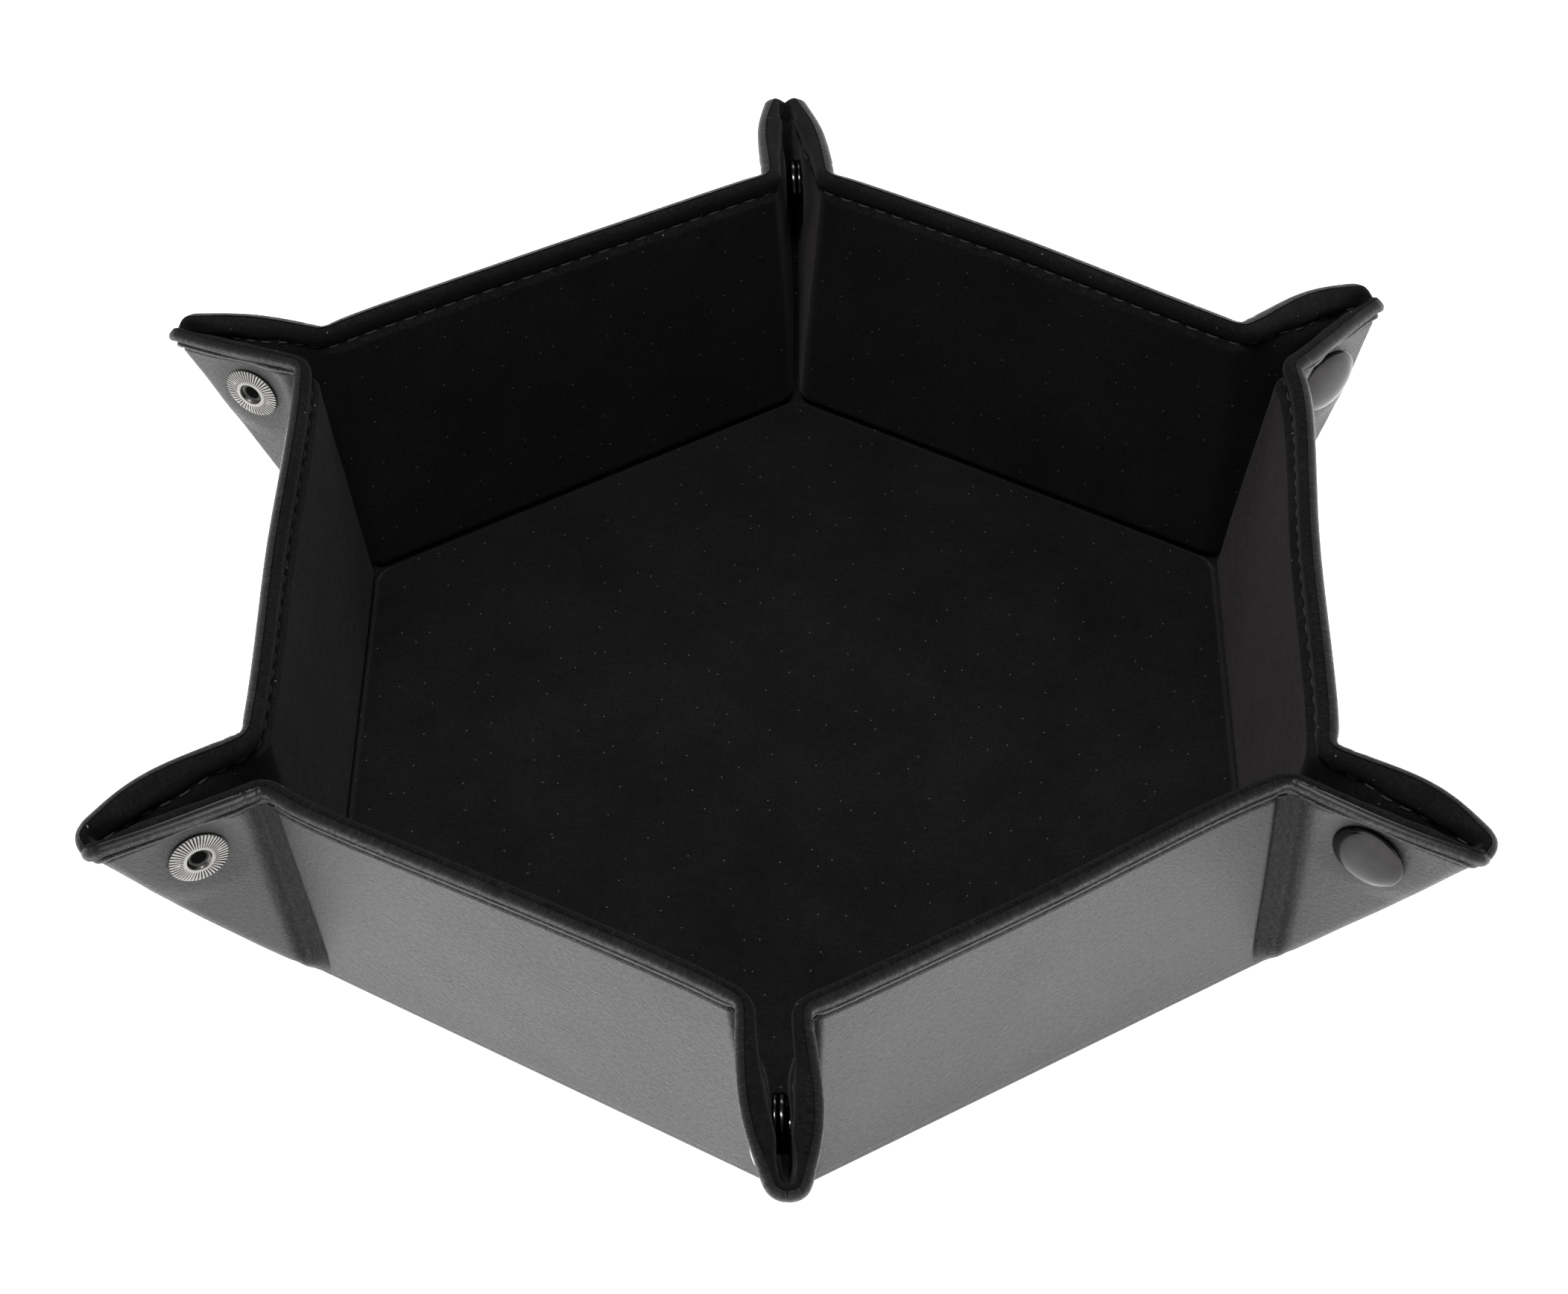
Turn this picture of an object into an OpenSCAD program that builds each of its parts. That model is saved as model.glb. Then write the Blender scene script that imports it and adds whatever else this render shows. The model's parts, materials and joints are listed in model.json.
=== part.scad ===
// Folding hexagonal dice tray, standing ready for use.
// One sheet of leather and one of velvet are laid back to back over seven stiffening boards and
// sewn together round the rim. The soft strips between the boards let six walls fold up from the
// base. The spare sheet at each corner folds outwards into a two-layered ear, and a press snap
// through the ear holds the walls up. Unsnapped, the whole tray opens into a flat hexagon.
// The origin is under the middle of the base, +Z is up, and wall 1 stands across +X.

/* [Tray] */
// Distance from the centre of the base to each wall's fold
fold_apothem = 96.2; // [85:0.1:110]
// Height of a wall, measured up its slope from the fold to the rim
wall_h = 64.5; // [58:0.5:72]
// Angle that a standing wall has turned up from lying flat
wall_up = 85; // [82:0.5:88]

/* [Layers] */
// Thickness of the outer leather
leather_t = 1.1; // [0.9:0.05:1.2]
// Thickness of the velvet lining
velvet_t = 1.2; // [0.9:0.05:1.3]
// Thickness of the stiffening boards
board_t = 2; // [1.6:0.1:2.2]

/* [Boards] */
// Gap from a wall's fold to the edge of the base board
base_board_gap = 4.6; // [4.4:0.1:6]
// Gap from a wall's fold to the lower edge of its own board
wall_board_gap = 3.4; // [3.2:0.1:4.5]
// Depth of the soft rim above a wall's board, where the stitching runs
rim_soft = 5.6; // [5:0.1:7]
// Gap from an ear's fold to the side edge of the wall's board
side_board_gap = 2.8; // [2.4:0.1:3.6]

/* [Rim] */
// Radius of the rolled edge of the leather
bead_r = 1.6; // [1.2:0.1:1.8]
// Radius of the narrow ridge below the rolled edge
ridge_r = 0.8; // [0.6:0.1:1]
// Distance from the rim down to the middle of the narrow ridge
ridge_drop = 4.1; // [3.8:0.1:4.4]

/* [Ears] */
// Setback of an ear's fold from the corner of the base, at its lower end
ear_inset_low = 2.1; // [2:0.1:2.6]
// Setback of the same fold at the rim
ear_inset_high = 3.5; // [3.2:0.1:4.2]
// Half of the distance that stays between an ear's two layers at its tip
tip_half_gap = 1.7; // [1.6:0.1:2]
// Setback of each layer from the crease between the two
crease_setback = 2.2; // [2:0.1:3]

/* [Snaps] */
// Distance of a snap below the rim
snap_drop = 14; // [13.5:0.5:16]
// Distance of a snap from the ear's fold
snap_out = 18; // [17:0.5:18.5]
// Diameter of the domed cap
cap_d = 15; // [14:0.5:15]
// Height of the domed cap above the leather
cap_h = 2.1; // [1.6:0.1:2.4]
// Diameter of the post's serrated flange
post_d = 12.2; // [11:0.1:12.6]
// Diameter of the socket ring
socket_d = 11.4; // [10.5:0.1:12]
// Diameter of the stud's round head
head_d = 6; // [5.8:0.1:6.2]
// Play round the stud's head in the socket
head_play = 0.35; // [0.3:0.05:0.5]
// Half of the distance between the two velvet faces at a snap
snap_half_gap = 1.7; // [1.6:0.05:1.9]

/* [Hidden] */
walls = 6;
turn = 360 / walls;
half_turn = turn / 2;
// Play between faces of the same body, beside a fold, and inside a bend
seat = 0.05;
fold_play = 0.1;
bend_play = 0.25;
// The folds run along the face between the leather and the velvet
fold_z = leather_t;
soft_t = leather_t + velvet_t;
thick_t = soft_t + board_t;
// Setback of the velvet at a wall's fold, where it is on the inside of the bend
velvet_setback = velvet_t * tan(wall_up / 2) + bend_play;
// Half length of a wall's fold, and the half length of one side of the flat sheet
corner_t = fold_apothem * tan(half_turn);
sheet_t = (fold_apothem + wall_h) * tan(half_turn);
// Ends of an ear's fold on the flat sheet, as [distance up the wall, distance along it]
ear_low = [0, corner_t - ear_inset_low];
ear_high = [wall_h, corner_t - ear_inset_high];
ear_angle = atan2(ear_high.y - ear_low.y, ear_high.x - ear_low.x);
ear_along = [cos(ear_angle), sin(ear_angle)];
ear_across = [-sin(ear_angle), cos(ear_angle)];
// The corner's crease on the flat sheet, set back for one layer
crease_in = crease_setback / cos(half_turn);
tip = [wall_h, sheet_t - crease_in];
// A direction given as [up the wall, along it, out of its velvet face] on wall 1, standing
function stood(v) = [
    v[0] * cos(wall_up) - v[2] * sin(wall_up),
    v[1],
    v[0] * sin(wall_up) + v[2] * cos(wall_up)
];
// Distance of a direction or of a point on wall 1 from the middle plane of its first corner
function off_plane(v) = v[0] * sin(half_turn) - v[1] * cos(half_turn);
// Turn of the ear's layer that brings its tip to tip_half_gap from the middle plane
tip_arm = tip - ear_high;
tip_along = tip_arm * ear_along;
tip_across = tip_arm * ear_across;
arm_root = ear_high + tip_along * ear_along;
root_off = off_plane([fold_apothem, 0, 0] + stood([arm_root.x, arm_root.y, 0]));
across_off = tip_across * off_plane(stood([ear_across.x, ear_across.y, 0]));
out_off = -tip_across * off_plane(stood([0, 0, 1]));
ear_turn = atan2(out_off, across_off) - acos((tip_half_gap - root_off) / norm([across_off, out_off]));
// Setback of the leather at an ear's fold, where its rolled edge is on the inside of the bend
leather_setback = (leather_t / 2 + bead_r) * tan(ear_turn / 2) + bend_play;
// Where the snap's axis crosses the middle plane, as [distance from the centre, height]
snap_x = wall_h - snap_drop;
snap_root = [snap_x, ear_low.y + snap_x * tan(ear_angle)];
snap_arm = snap_out * ear_across;
snap_at = [fold_apothem, 0, fold_z] + stood([
    snap_root.x + snap_arm.x * cos(ear_turn),
    snap_root.y + snap_arm.y * cos(ear_turn),
    -snap_out * sin(ear_turn)
]);
snap_r = snap_at.x * cos(half_turn) + snap_at.y * sin(half_turn);
snap_z = snap_at.z;
// Snap details: the rivet tube of the cap and the post, and the thin metal of the pressed parts
rivet_d = 4.4;
rivet_bore_d = 3.2;
metal_t = 0.5;
pad_d = 16.4;
pad_out = snap_half_gap + soft_t;
socket_h = 2 * snap_half_gap - metal_t - 0.15;
head_h = socket_h - metal_t - 0.1;
snap_fn = 48;
bead_fn = 24;
// Longer than any piece, for cutting and for lengths of moulding
far = 400;

// ---- Colours ----
module leather_look() { color([0.10, 0.10, 0.11]) children(); }
module velvet_look() { color([0.045, 0.04, 0.045]) children(); }
module board_look() { color([0.52, 0.48, 0.42]) children(); }
module gunmetal_look() { color([0.24, 0.24, 0.26]) children(); }
module nickel_look() { color([0.78, 0.77, 0.75]) children(); }

// ---- Shared outlines and placing ----
// A hexagon with a side across +X, from its apothem
module hexagon(apothem) {
    rotate(half_turn) circle(r = apothem / cos(half_turn), $fn = walls);
}

// Wall 1's outline on the flat sheet, between its two ear folds
module wall_outline(low, high, side) {
    edge_low = ear_low.y + low * tan(ear_angle) - side;
    edge_high = ear_low.y + high * tan(ear_angle) - side;
    polygon([[low, -edge_low], [high, -edge_high], [high, edge_high], [low, edge_low]]);
}

// The outline of one layer of an ear on the flat sheet, beside wall 1
module ear_outline() {
    low = 3;
    polygon([
        [low, ear_low.y + low * tan(ear_angle) + leather_setback],
        [low, corner_t + low * tan(half_turn) - crease_in],
        tip,
        [wall_h, ear_high.y + leather_setback]
    ]);
}

// A section across the rim, drawn as [distance up the wall, height], run along the wall
module moulding() {
    translate([0, far / 2, 0]) rotate([90, 0, 0]) linear_extrude(far) children();
}

// The leather's section: flat, with the rolled edge and the narrow ridge on its outer face
module leather_section() {
    intersection() {
        union() {
            square([wall_h, leather_t]);
            translate([wall_h - bead_r, leather_t / 2]) circle(bead_r, $fn = bead_fn);
            translate([wall_h - ridge_drop, ridge_r / 2]) circle(ridge_r, $fn = bead_fn);
        }
        translate([0, -far]) square([wall_h, far + leather_t]);
    }
}

// Stands a piece drawn on the flat sheet up as wall k
module standing(k) {
    rotate((k - 1) * turn) translate([fold_apothem, 0, fold_z])
        rotate([0, -wall_up, 0]) translate([0, 0, -fold_z]) children();
}

// Turns a piece of the flat sheet down about wall 1's ear fold
module ear_turned() {
    translate([ear_low.x, ear_low.y, fold_z]) rotate(ear_angle) rotate([-ear_turn, 0, 0])
        rotate(-ear_angle) translate([-ear_low.x, -ear_low.y, -fold_z]) children();
}

// Places a snap piece drawn about Z, with 0 on corner k's middle plane and +Z towards the cap
module at_snap(k) {
    rotate((k - 1) * turn + half_turn) translate([snap_r, 0, snap_z]) rotate([90, 0, 0]) children();
}

// ---- Base ----
module base_board() {
    board_look() translate([0, 0, leather_t])
        linear_extrude(board_t) hexagon(fold_apothem - base_board_gap);
}

module base_skin() {
    leather_look() linear_extrude(leather_t) hexagon(fold_apothem - fold_play);
}

// The velvet over the board
module base_lining() {
    velvet_look() translate([0, 0, leather_t + board_t])
        linear_extrude(velvet_t) hexagon(fold_apothem - base_board_gap + velvet_t);
}

// The velvet that comes down the board's edge and runs on into the folds
module base_lining_edge() {
    velvet_look() translate([0, 0, leather_t]) difference() {
        union() {
            linear_extrude(velvet_t) hexagon(fold_apothem - fold_play);
            linear_extrude(board_t) hexagon(fold_apothem - base_board_gap + velvet_t);
        }
        translate([0, 0, -1]) linear_extrude(board_t + 2) hexagon(fold_apothem - base_board_gap);
    }
}

// ---- Walls, drawn flat as wall 1 ----
module wall_board() {
    board_look() translate([0, 0, leather_t])
        linear_extrude(board_t) wall_outline(wall_board_gap, wall_h - rim_soft, side_board_gap);
}

module wall_skin() {
    leather_look() intersection() {
        moulding() leather_section();
        translate([0, 0, -far / 2]) linear_extrude(far) wall_outline(fold_play, wall_h, leather_setback);
    }
}

module wall_lining() {
    low = wall_board_gap;
    high = wall_h - rim_soft;
    side = side_board_gap;
    velvet_look() translate([0, 0, leather_t]) difference() {
        union() {
            linear_extrude(velvet_t) wall_outline(velvet_setback, wall_h, leather_setback);
            linear_extrude(velvet_t + board_t)
                wall_outline(low - velvet_t, high + velvet_t, side - velvet_t);
        }
        translate([0, 0, -1]) linear_extrude(board_t + 1) wall_outline(low, high, side);
    }
}

// ---- Ears: leather and velvet bonded into one layer, with a flat pad under the snap ----
module ear_layer() {
    leather_look() ear_turned() intersection() {
        moulding() union() {
            leather_section();
            translate([0, leather_t]) square([wall_h, velvet_t]);
        }
        translate([0, 0, -far / 2]) linear_extrude(far) ear_outline();
    }
}

module snap_pad() {
    leather_look() translate([0, 0, snap_half_gap]) cylinder(d = pad_d, h = soft_t, $fn = snap_fn);
}

// Room for the rivet, and flat seats for the metal on both faces of the pad
module snap_room() {
    room_d = pad_d - 0.4;
    translate([0, 0, snap_half_gap - 1])
        cylinder(d = rivet_d + 2 * seat, h = soft_t + 2, $fn = snap_fn);
    translate([0, 0, pad_out]) cylinder(d = room_d, h = 4, $fn = snap_fn);
    translate([0, 0, snap_half_gap - 3]) cylinder(d = room_d, h = 3, $fn = snap_fn);
}

// The layer on the clockwise wall's side carries the cap
module ear_cap_side(k) {
    difference() {
        union() {
            standing(k) ear_layer();
            at_snap(k) snap_pad();
        }
        at_snap(k) snap_room();
    }
}

// The layer on the counter-clockwise wall's side carries the post
module ear_post_side(k) {
    difference() {
        union() {
            standing(k + 1) mirror([0, 1, 0]) ear_layer();
            at_snap(k) mirror([0, 0, 1]) snap_pad();
        }
        at_snap(k) mirror([0, 0, 1]) snap_room();
    }
}

// ---- Snap pieces, drawn about Z ----
module snap_cap() {
    rim_r = cap_d / 2;
    gunmetal_look() rotate_extrude($fn = snap_fn) polygon([
        [rivet_bore_d / 2, snap_half_gap - 1.4],
        [rivet_d / 2, snap_half_gap - 1.4],
        [rivet_d / 2, pad_out + seat],
        [rim_r - 0.4, pad_out + seat],
        [rim_r, pad_out + 0.35],
        [rim_r - 0.05, pad_out + 0.8],
        [rim_r - 1.1, pad_out + cap_h - 0.35],
        [rim_r - 3.2, pad_out + cap_h],
        [0, pad_out + cap_h],
        [0, pad_out + cap_h - metal_t],
        [rivet_bore_d / 2, pad_out + cap_h - metal_t]
    ]);
}

module snap_socket() {
    mouth = snap_half_gap - socket_h;
    gunmetal_look() rotate_extrude($fn = snap_fn) polygon([
        [rivet_d / 2 + seat, snap_half_gap],
        [socket_d / 2, snap_half_gap],
        [socket_d / 2, mouth + 0.4],
        [socket_d / 2 - 0.4, mouth],
        [head_d / 2 + head_play + 0.2, mouth],
        [head_d / 2 + head_play, mouth + 0.2],
        [head_d / 2 + head_play, snap_half_gap - metal_t],
        [rivet_d / 2 + seat, snap_half_gap - metal_t]
    ]);
}

module snap_stud() {
    gunmetal_look() mirror([0, 0, 1]) rotate_extrude($fn = snap_fn) polygon([
        [rivet_d / 2 + seat, snap_half_gap],
        [socket_d / 2 - 0.2, snap_half_gap],
        [socket_d / 2 - 0.2, snap_half_gap - metal_t],
        [head_d / 2 - 0.25, snap_half_gap - metal_t],
        [head_d / 2 - 0.25, snap_half_gap - metal_t - 0.5],
        [head_d / 2, snap_half_gap - metal_t - 1],
        [head_d / 2, snap_half_gap - head_h + 0.5],
        [head_d / 2 - 0.5, snap_half_gap - head_h],
        [rivet_d / 2 + seat, snap_half_gap - head_h]
    ]);
}

module snap_post() {
    nickel_look() mirror([0, 0, 1]) rotate_extrude($fn = snap_fn) polygon([
        [rivet_bore_d / 2, snap_half_gap - 1.8],
        [rivet_d / 2, snap_half_gap - 1.8],
        [rivet_d / 2, pad_out + seat],
        [post_d / 2, pad_out + seat],
        [post_d / 2, pad_out + 0.5],
        [post_d / 2 - 2.1, pad_out + 0.95],
        [rivet_bore_d / 2 + 1.2, pad_out + 1.05],
        [rivet_bore_d / 2, pad_out + 0.75]
    ]);
}

// ---- The pieces in place ----
base_board();
base_skin();
base_lining();
base_lining_edge();
for (k = [1:walls]) {
    standing(k) wall_board();
    standing(k) wall_skin();
    standing(k) wall_lining();
    ear_cap_side(k);
    ear_post_side(k);
    at_snap(k) snap_cap();
    at_snap(k) snap_socket();
    at_snap(k) snap_stud();
    at_snap(k) snap_post();
}
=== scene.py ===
"""The looks of a folding hexagonal dice tray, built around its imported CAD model.

The leather and the velvet are two sheets folded alike. One function, sheet_place, gives the face
between them: the ideal folded sheet, with its folds rounded by averaging. Each soft piece is a thin
closed shell on one side of that face. Lengths are in metres.
"""
import json
import math

import bmesh
import bpy
import numpy as np
from mathutils import Matrix, Vector
from mathutils.geometry import delaunay_2d_cdt


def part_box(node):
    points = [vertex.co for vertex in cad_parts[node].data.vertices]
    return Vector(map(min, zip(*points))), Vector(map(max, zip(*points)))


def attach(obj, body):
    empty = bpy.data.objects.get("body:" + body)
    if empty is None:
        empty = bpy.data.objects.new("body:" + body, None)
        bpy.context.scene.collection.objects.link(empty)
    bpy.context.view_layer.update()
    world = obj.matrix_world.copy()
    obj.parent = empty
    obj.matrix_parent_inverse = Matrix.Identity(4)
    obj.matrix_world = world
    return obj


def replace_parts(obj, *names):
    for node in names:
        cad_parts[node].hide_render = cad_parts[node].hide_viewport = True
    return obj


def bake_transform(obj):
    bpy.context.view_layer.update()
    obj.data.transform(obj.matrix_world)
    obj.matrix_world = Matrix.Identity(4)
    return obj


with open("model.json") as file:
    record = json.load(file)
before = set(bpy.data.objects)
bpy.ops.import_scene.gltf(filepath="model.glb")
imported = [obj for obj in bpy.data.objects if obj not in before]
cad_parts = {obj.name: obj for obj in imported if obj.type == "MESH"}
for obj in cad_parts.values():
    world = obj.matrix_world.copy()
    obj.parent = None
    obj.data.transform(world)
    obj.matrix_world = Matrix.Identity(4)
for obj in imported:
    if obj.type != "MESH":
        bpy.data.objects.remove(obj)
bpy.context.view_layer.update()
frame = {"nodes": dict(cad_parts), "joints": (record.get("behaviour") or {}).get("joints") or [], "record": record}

MM = 0.001
WALLS = 6
TURN = 2 * math.pi / WALLS
HALF = TURN / 2


def unit(v):
    """Vectors of length 1 in the same directions."""
    return v / np.linalg.norm(v, axis=-1, keepdims=True)


# ---- Sizes taken from the frame ----
JOINTS = {joint["name"]: joint for joint in frame["joints"]}
COUPLINGS = {c["joint"]: c for c in frame["record"]["behaviour"]["couplings"]}
wall_fold = np.array(JOINTS["wall_1_fold"]["pos_m"])
ear_pivot = np.array(JOINTS["ear_1_cap_fold"]["pos_m"])
ear_axis = unit(np.array(JOINTS["ear_1_cap_fold"]["axis"]))
APOTHEM = math.hypot(wall_fold[0], wall_fold[1])
LEATHER_T = wall_fold[2]
WALL_UP = math.atan2(ear_axis[2], ear_axis[0])
EAR_SLOPE = ear_axis[1] / math.hypot(ear_axis[0], ear_axis[2])
EAR_LOW_T = ear_pivot[1]
EAR_TURN = COUPLINGS["ear_1_cap_fold"]["ratio"] * WALL_UP
WALL_H = (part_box("wall_1_skin")[1].z - LEATHER_T) / math.sin(WALL_UP)
CORNER_T = APOTHEM * math.tan(HALF)
SHEET_T = (APOTHEM + WALL_H) * math.tan(HALF)
socket_low, socket_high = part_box("snap_2_socket")
SNAP_R = (socket_low.y + socket_high.y) / 2
SNAP_Z = (socket_low.z + socket_high.z) / 2
board_low, board_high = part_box("base_board")
BASE_BOARD = board_high.x
BOARD_T = board_high.z - board_low.z
VELVET_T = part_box("base_lining")[1].z - board_high.z

# ---- The boards' outlines on a wall ----
WALL_BOARD_GAP = 3.4 * MM
RIM_SOFT = 5.6 * MM
SIDE_BOARD_GAP = 2.8 * MM

# ---- How the folds are rounded: each value is the half width of the rounded strip ----
WALL_BEND = 1.6 * MM
EAR_BEND = 2.6 * MM
CORNER_BEND = 2.2 * MM
# ---- The ears: half the gap between the layers, at the crease and at its top end ----
KEEL_GAP = 1.75 * MM
TIP_GAP = 2.3 * MM
# Half the gap where a snap presses the layers: at its middle, how wide, and how far it fades
PAD_GAP = 2.9 * MM
PAD_REACH = 8 * MM
PAD_FADE = 5 * MM
KEEL_INSET = 0.2 * MM
# ---- The sheet's corners are cut round, so an ear's rim falls away towards its tip ----
CORNER_ROUND = 10 * MM
# ---- How the mouth of each ear stands open: corner: (the cap's layer, the post's layer) ----
BULGES = {1: (0.3, 3.0), 2: (1.8, 1.8), 3: (2.0, 0.5), 4: (3.6, 0.6), 5: (2.4, 2.6), 6: (0.8, 3.8)}
# ---- How the made tray has settled away from the drawing at its rim, in mm ----
# wall: its (x, y) moves at the corner before it, at its middle, and at the corner after it
SETTLED_WALLS = {
    1: ((1.5, -3.0), (3.2, -0.4), (4.0, -1.2)),
    2: ((0.4, 0.2), (1.0, 2.0), (2.6, 0.2)),
    3: ((1.6, 0.4), (-0.5, 2.9), (-3.0, 3.6)),
    4: ((-0.9, 3.7), (-0.9, 2.4), (-0.9, 2.9)),
    5: ((-2.2, 0.2), (-0.2, -0.3), (-0.8, 0.4)),
    6: ((-1.7, -1.2), (0.0, -0.6), (-0.6, -0.8)),
}
# corner: the (x, y, z) move of its ear's tip
SETTLED_TIPS = {
    1: (-7.7, 3.3, -3.4),
    2: (-1.6, -4.0, -3.6),
    3: (1.3, -3.4, -1.5),
    4: (0.9, 5.0, -0.8),
    5: (1.7, 1.6, -0.5),
    6: (-1.8, -0.8, -0.8),
}
# How far round each given place its move spreads before it fades
SETTLED_REACH = 12 * MM
# ---- The seams between pieces: how wide, and where the walls' strips start and end ----
SEAM = 6 * MM
STRIP_LOW = -2.5 * MM
STRIP_HIGH = 2.4 * MM
# ---- A hair's breadth, which keeps one layer's hidden face off the next ----
HAIR = 0.02 * MM
# ---- The velvet's slope past the edge of the base's board ----
BASE_FALL = 2.2 * MM


# ---- The folded sheet ----
def smooth(x):
    """0 below 0, 1 above 1, and a smooth step between."""
    x = np.clip(x, 0.0, 1.0)
    return x * x * (3.0 - 2.0 * x)


def rising(x, start, length):
    """0 below start, then a smooth rise to 1 over the length; both in mm."""
    return smooth((x - start * MM) / (length * MM))


def falling(x, end, length):
    """1, with a smooth fall to 0 over the last length before the end; both in mm."""
    return smooth((end * MM - x) / (length * MM))


def matched(s, across):
    """Both values as arrays of one shape."""
    return np.broadcast_arrays(np.asarray(s, float), np.asarray(across, float))


def stood(s, t):
    """A point of wall 1, s up its slope and t along it, as (x, y, z)."""
    s, t = matched(s, t)
    return np.stack([APOTHEM + s * math.cos(WALL_UP), t, LEATHER_T + s * math.sin(WALL_UP)], -1)


def to_corner(p):
    """(x, y, z) as (distance out along the corner's middle plane, distance off it, z)."""
    r = p[..., 0] * math.cos(HALF) + p[..., 1] * math.sin(HALF)
    q = p[..., 0] * math.sin(HALF) - p[..., 1] * math.cos(HALF)
    return np.stack([r, q, p[..., 2]], -1)


def from_corner(r, q, z):
    x = r * math.cos(HALF) + q * math.sin(HALF)
    y = r * math.sin(HALF) - q * math.cos(HALF)
    return np.stack([x, y, z], -1)


def turned(p, pivot, axis, angle):
    """p turned about an axis through pivot."""
    v = p - pivot
    c, s = math.cos(angle), math.sin(angle)
    return pivot + v * c + np.cross(axis, v) * s + np.outer(v @ axis, axis).reshape(v.shape) * (1 - c)


flat_tip = turned(stood(WALL_H, SHEET_T), ear_pivot, ear_axis, -EAR_TURN)
TIP = to_corner(flat_tip)
FOOT = np.array([APOTHEM / math.cos(HALF), 0.0, LEATHER_T])
KEEL_SLOPE = math.atan2(TIP[2] - FOOT[2], TIP[0] - FOOT[0])


def hinge_t(s):
    """Where the ear's fold is along the wall, at s up it."""
    return EAR_LOW_T + s * EAR_SLOPE


def keel(s):
    """The crease between an ear's two layers, as (r, z)."""
    inset = KEEL_INSET * rising(s, 0, 6)
    share = s / WALL_H
    r = FOOT[0] + share * (TIP[0] - FOOT[0]) - inset * math.sin(KEEL_SLOPE)
    z = FOOT[2] + share * (TIP[2] - FOOT[2]) + inset * math.cos(KEEL_SLOPE)
    return r, z


def keel_gap(s):
    """Half the gap between the layers beside their crease."""
    opening = smooth((s - 0.55 * WALL_H) / (0.45 * WALL_H))
    return KEEL_GAP * rising(s, 0, 5) + (TIP_GAP - KEEL_GAP) * opening


def ear_run(s):
    """Length of an ear's layer from its fold to its crease."""
    hinge = to_corner(stood(s, hinge_t(s)))
    r, z = keel(s)
    return np.hypot(r - hinge[..., 0], z - hinge[..., 2])


def ideal_sheet(s, along):
    """The sheet before its folds are rounded. along runs from the ear's fold, outwards."""
    s, along = matched(s, along)
    hinge = to_corner(stood(s, hinge_t(s)))
    run, gap = ear_run(s), keel_gap(s)
    reach = run + gap
    past = along > reach
    side = np.where(past, -1.0, 1.0)
    here = np.where(past, 2 * reach - along, along)
    wall = to_corner(stood(s, hinge_t(s) + np.minimum(here, 0.0)))
    wall[..., 1] *= side
    share = np.clip(here / run, 0.0, 1.0)
    keel_r, keel_z = keel(s)
    r = hinge[..., 0] + share * (keel_r - hinge[..., 0])
    z = hinge[..., 2] + share * (keel_z - hinge[..., 2])
    q = hinge[..., 1] * (1 - share) + gap * share
    from_snap = np.hypot(r - SNAP_R, z - SNAP_Z)
    pressed = 1 - smooth((from_snap - PAD_REACH) / PAD_FADE)
    q = q + (PAD_GAP - q) * pressed
    q = q - np.clip(here - run, 0.0, None)
    ear = np.stack([r, q * side, z], -1)
    return np.where((here < 0)[..., None], wall, ear)


BOX = (np.arange(19) + 0.5) / 19 * 2 - 1


def rounded_row(s, along):
    """The sheet with its upright folds rounded."""
    s, along = matched(s, along)
    gap = keel_gap(s)
    last = gap + (CORNER_BEND - gap) * (1 - rising(s, 0, 6))
    share = smooth(along / (ear_run(s) + gap))
    half = EAR_BEND + (last - EAR_BEND) * share
    total = 0.0
    for x in BOX:
        total = total + ideal_sheet(s, along + half * x)
    return total / len(BOX)


def along_of(s, column):
    """Columns 0 to 1 cross the wall's panel, 1 to 2 the seam's strip and 2 to 3 the ear."""
    s, column = matched(s, column)
    up = np.maximum(s, 0.0)
    panel = (column - 1) * (hinge_t(up) - SEAM) - SEAM
    strip = (column - 2) * SEAM
    ear = (column - 2) * (ear_run(up) + keel_gap(up))
    return np.where(column < 1, panel, np.where(column < 2, strip, ear))


def upright_sheet(s, column):
    """The sheet with its upright folds rounded, above the fold round the base."""
    place = rounded_row(s, along_of(s, column))
    return from_corner(place[..., 0], place[..., 1], place[..., 2])


def low_sheet(s, column):
    """The sheet near the fold round the base, which is rounded too."""
    total = 0.0
    for x in (np.arange(9) + 0.5) / 9 * 2 - 1:
        level = s + WALL_BEND * x
        place = upright_sheet(np.maximum(level, 0.0), column)
        shrink = 1 - np.maximum(-level, 0.0) / APOTHEM
        total = total + place * np.stack([shrink, shrink, 0 * shrink + 1], -1)
    return total / 9


def sheet_place(s, column):
    """The face between leather and velvet in the tray's frame, beside wall 1."""
    s, column = matched(s, column)
    s, column, shape = s.ravel(), column.ravel(), s.shape
    place = np.zeros((len(s), 3))
    low = s < WALL_BEND
    if low.any():
        place[low] = low_sheet(s[low], column[low])
    if not low.all():
        place[~low] = upright_sheet(s[~low], column[~low])
    return place.reshape(*shape, 3)


def sheet_frame(s, column):
    """Places on the face between leather and velvet, and its normals on the velvet's side."""
    s, column = matched(s, column)
    ds, dc = 0.05 * MM, 0.003
    rise = sheet_place(s + ds, column) - sheet_place(s - ds, column)
    run = sheet_place(s, column + dc) - sheet_place(s, column - dc)
    return sheet_place(s, column), unit(np.cross(rise, run))


def flat_place(s, column):
    """Where a point lies on the flat sheet, for patterns that run on over the seams."""
    s, column = matched(s, column)
    up = np.maximum(s, 0.0)
    along = along_of(s, column)
    room = CORNER_T + up * math.tan(HALF) - hinge_t(up)
    t = hinge_t(up) + np.where(along > 0, along / (ear_run(up) + keel_gap(up)) * room, along)
    t = t * np.where(s < 0, 1 + s / APOTHEM, 1.0)
    return np.stack([APOTHEM + s, t], -1)


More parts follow.
